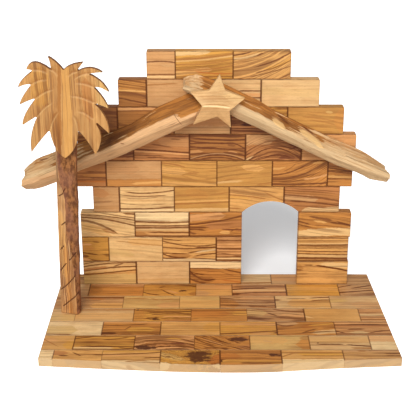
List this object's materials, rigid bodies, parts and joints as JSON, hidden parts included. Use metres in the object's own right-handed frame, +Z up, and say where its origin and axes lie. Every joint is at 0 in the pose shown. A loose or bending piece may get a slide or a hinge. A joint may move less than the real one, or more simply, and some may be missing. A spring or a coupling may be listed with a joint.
{
  "type": "nativity stable",
  "caption": "Free-standing wooden nativity stable: stepped wall of glued blocks with an arched doorway, bowed base, split-branch gable beams, faceted star and a palm tree.",
  "frame": {"origin": "middle of the base's underside, on the surface the stable stands on", "axes": "+Z up, +X to the right of someone facing the stable, -Y out of the front"},
  "size_m": [0.393, 0.1989, 0.2904],
  "materials": {
    "wall_wood": "sanded olive wood blocks, satin oil, strong brown figure",
    "base_wood": "sanded olive wood blocks, satin oil, brown figure and dark knots",
    "branch_wood": "split branch, rough hewn, brown outer face and paler inner faces",
    "star_wood": "pale sanded wood with fine level grain",
    "crown_wood": "sawn honey-coloured board, upright grain, carved fronds",
    "bark_wood": "split branch with reddish bark on one side and carved bare wood on the other",
    "dowel_wood": "plain turned wood"
  },
  "bodies": {
    "root": {"base_strip_1": "base_wood", "base_strip_2": "base_wood", "base_strip_3": "base_wood", "base_strip_4": "base_wood", "base_strip_5": "base_wood", "base_strip_6": "base_wood", "base_strip_7": "base_wood", "course_1_block_1": "wall_wood", "course_1_block_2": "wall_wood", "course_1_block_3": "wall_wood", "course_1_block_4": "wall_wood", "course_2_block_1": "wall_wood", "course_2_block_2": "wall_wood", "course_2_block_3": "wall_wood", "course_2_block_4": "wall_wood", "course_2_block_5": "wall_wood", "course_3_block_1": "wall_wood", "course_3_block_2": "wall_wood", "course_3_block_3": "wall_wood", "course_3_block_4": "wall_wood", "course_4_block_1": "wall_wood", "course_4_block_2": "wall_wood", "course_4_block_3": "wall_wood", "course_4_block_4": "wall_wood", "course_4_block_5": "wall_wood", "course_5_block_1": "wall_wood", "course_5_block_2": "wall_wood", "course_5_block_3": "wall_wood", "course_5_block_4": "wall_wood", "course_5_block_5": "wall_wood", "course_5_block_6": "wall_wood", "course_6_block_1": "wall_wood", "course_6_block_2": "wall_wood", "course_6_block_3": "wall_wood", "course_6_block_4": "wall_wood", "course_6_block_5": "wall_wood", "course_7_block_1": "wall_wood", "course_7_block_2": "wall_wood", "course_7_block_3": "wall_wood", "course_7_block_4": "wall_wood", "course_7_block_5": "wall_wood", "course_8_block_1": "wall_wood", "course_8_block_2": "wall_wood", "course_8_block_3": "wall_wood", "course_8_block_4": "wall_wood", "course_9_block_1": "wall_wood", "course_9_block_2": "wall_wood", "course_9_block_3": "wall_wood", "gable_star": "star_wood", "left_beam_dowel": "dowel_wood", "left_roof_beam": "branch_wood", "left_wall_dowel": "dowel_wood", "palm_crown": "crown_wood", "palm_dowel": "dowel_wood", "palm_trunk": "bark_wood", "right_beam_dowel": "dowel_wood", "right_roof_beam": "branch_wood", "right_wall_dowel": "dowel_wood", "star_dowel": "dowel_wood"}
  },
  "joints": []
}
